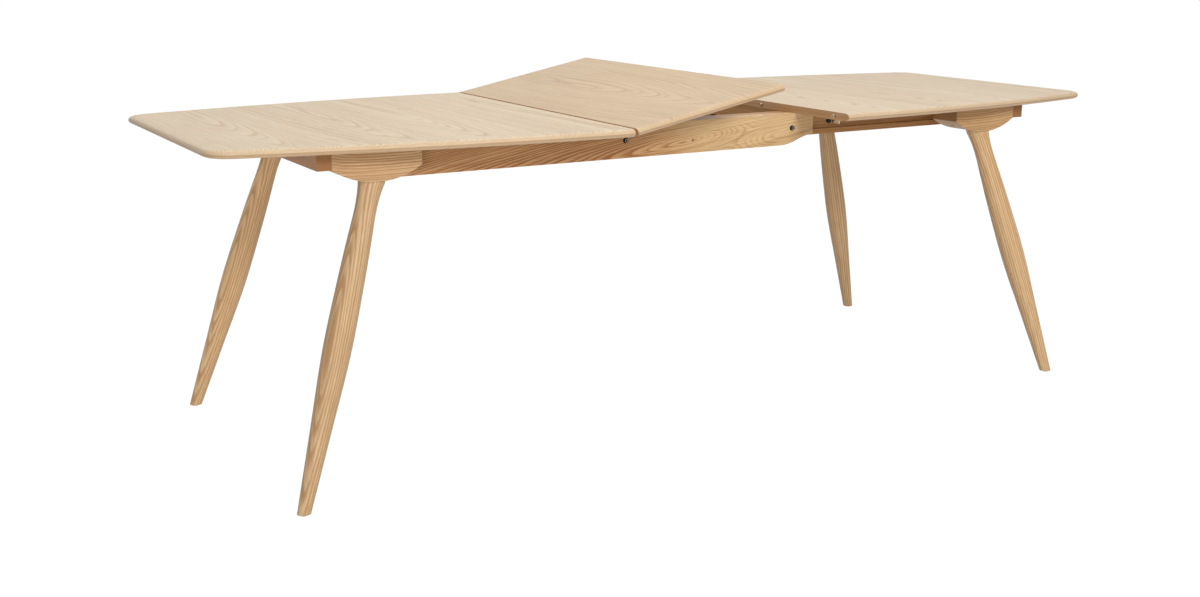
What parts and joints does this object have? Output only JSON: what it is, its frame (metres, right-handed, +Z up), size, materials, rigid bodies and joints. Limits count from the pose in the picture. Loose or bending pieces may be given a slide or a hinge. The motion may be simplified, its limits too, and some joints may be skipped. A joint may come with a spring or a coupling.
{
  "type": "extending dining table",
  "caption": "Extending wooden dining table with bowed sides and splayed turned legs, drawn open on grooved runners, its middle leaf tilted up in the gap.",
  "frame": {"origin": "on the floor under the middle of the pulled-apart table", "axes": "+X along the table towards the sliding half, +Y towards the far long side, +Z up"},
  "size_m": [2.385, 0.932, 0.828],
  "materials": {
    "pale_top_wood": "satin oiled, grain across the table",
    "pale_frame_wood": "satin oiled, grain along each piece",
    "pale_leg_wood": "satin oiled, turned",
    "dowel_wood": "raw turned wood",
    "zinc_steel": "zinc plated",
    "bright_steel": "bright plated",
    "black_metal": "matt black",
    "black_rubber": "soft rubber",
    "black_plastic": "moulded, matt",
    "white_plastic": "moulded nylon",
    "brown_plastic": "moulded"
  },
  "bodies": {
    "fixed_half": {"fixed_top": "pale_top_wood", "fixed_pin_sleeves": "bright_steel", "near_side_rail": "pale_frame_wood", "far_side_rail": "pale_frame_wood", "fixed_end_rail": "pale_frame_wood", "fixed_inner_rail": "pale_frame_wood", "fixed_near_leg_block": "pale_frame_wood", "fixed_far_leg_block": "pale_frame_wood", "fixed_near_leg": "pale_leg_wood", "fixed_far_leg": "pale_leg_wood", "fixed_leg_studs": "zinc_steel", "fixed_foot_glides": "brown_plastic", "fixed_dowels": "dowel_wood", "fixed_top_screws": "zinc_steel", "guide_bolts": "bright_steel", "guide_washers": "black_metal", "guide_blocks": "white_plastic", "rail_block_bolts": "zinc_steel", "leaf_bar_guides": "white_plastic", "bar_guide_screws": "zinc_steel", "fixed_catch_studs": "zinc_steel"},
    "sliding_half": {"sliding_top": "pale_top_wood", "alignment_pins": "bright_steel", "near_runner": "pale_frame_wood", "far_runner": "pale_frame_wood", "sliding_end_rail": "pale_frame_wood", "sliding_inner_rail": "pale_frame_wood", "sliding_near_leg_block": "pale_frame_wood", "sliding_far_leg_block": "pale_frame_wood", "sliding_near_leg": "pale_leg_wood", "sliding_far_leg": "pale_leg_wood", "sliding_leg_studs": "zinc_steel", "sliding_foot_glides": "brown_plastic", "sliding_dowels": "dowel_wood", "sliding_top_screws": "zinc_steel", "leaf_rest_brackets": "black_metal", "leaf_rest_buttons": "black_rubber", "leaf_rest_screws": "zinc_steel", "catch_plates": "bright_steel", "catch_screws": "zinc_steel"},
    "leaf_carriage": {"leaf_slide_bars": "zinc_steel", "leaf_pivot_bolts": "zinc_steel"},
    "leaf": {"leaf_board": "pale_top_wood", "near_leaf_bearer": "pale_frame_wood", "far_leaf_bearer": "pale_frame_wood", "leaf_bearer_screws": "zinc_steel", "leaf_pin_sleeves": "bright_steel", "leaf_catch_studs": "zinc_steel"},
    "near_catch": {"near_catch_arm": "bright_steel", "near_catch_knob": "black_plastic"},
    "far_catch": {"far_catch_arm": "bright_steel", "far_catch_knob": "black_plastic"}
  },
  "joints": [
    {"name": "extension_slide", "type": "slide", "parent": "fixed_half", "child": "sliding_half", "axis": [1, 0, 0], "range_m": [-0.187, 0]},
    {"name": "leaf_draw", "type": "slide", "parent": "fixed_half", "child": "leaf_carriage", "axis": [1, 0, 0], "range_m": [-0.0106, 0.0233]},
    {"name": "leaf_lift", "type": "hinge", "parent": "leaf_carriage", "child": "leaf", "pos_m": [-0.2864, 0, 0.718], "axis": [0, -1, 0], "range_deg": [-11.3, 25]},
    {"name": "near_catch_swing", "type": "hinge", "parent": "sliding_half", "child": "near_catch", "pos_m": [0.3215, -0.355, 0.7285], "axis": [0, 0, -1], "range_deg": [0, 90]},
    {"name": "far_catch_swing", "type": "hinge", "parent": "sliding_half", "child": "far_catch", "pos_m": [0.3215, 0.355, 0.7285], "axis": [0, 0, 1], "range_deg": [0, 90]}
  ],
  "couplings": [
    {"joint": "leaf_draw", "follows": "leaf_lift", "m_per_rad": 0.053239}
  ]
}
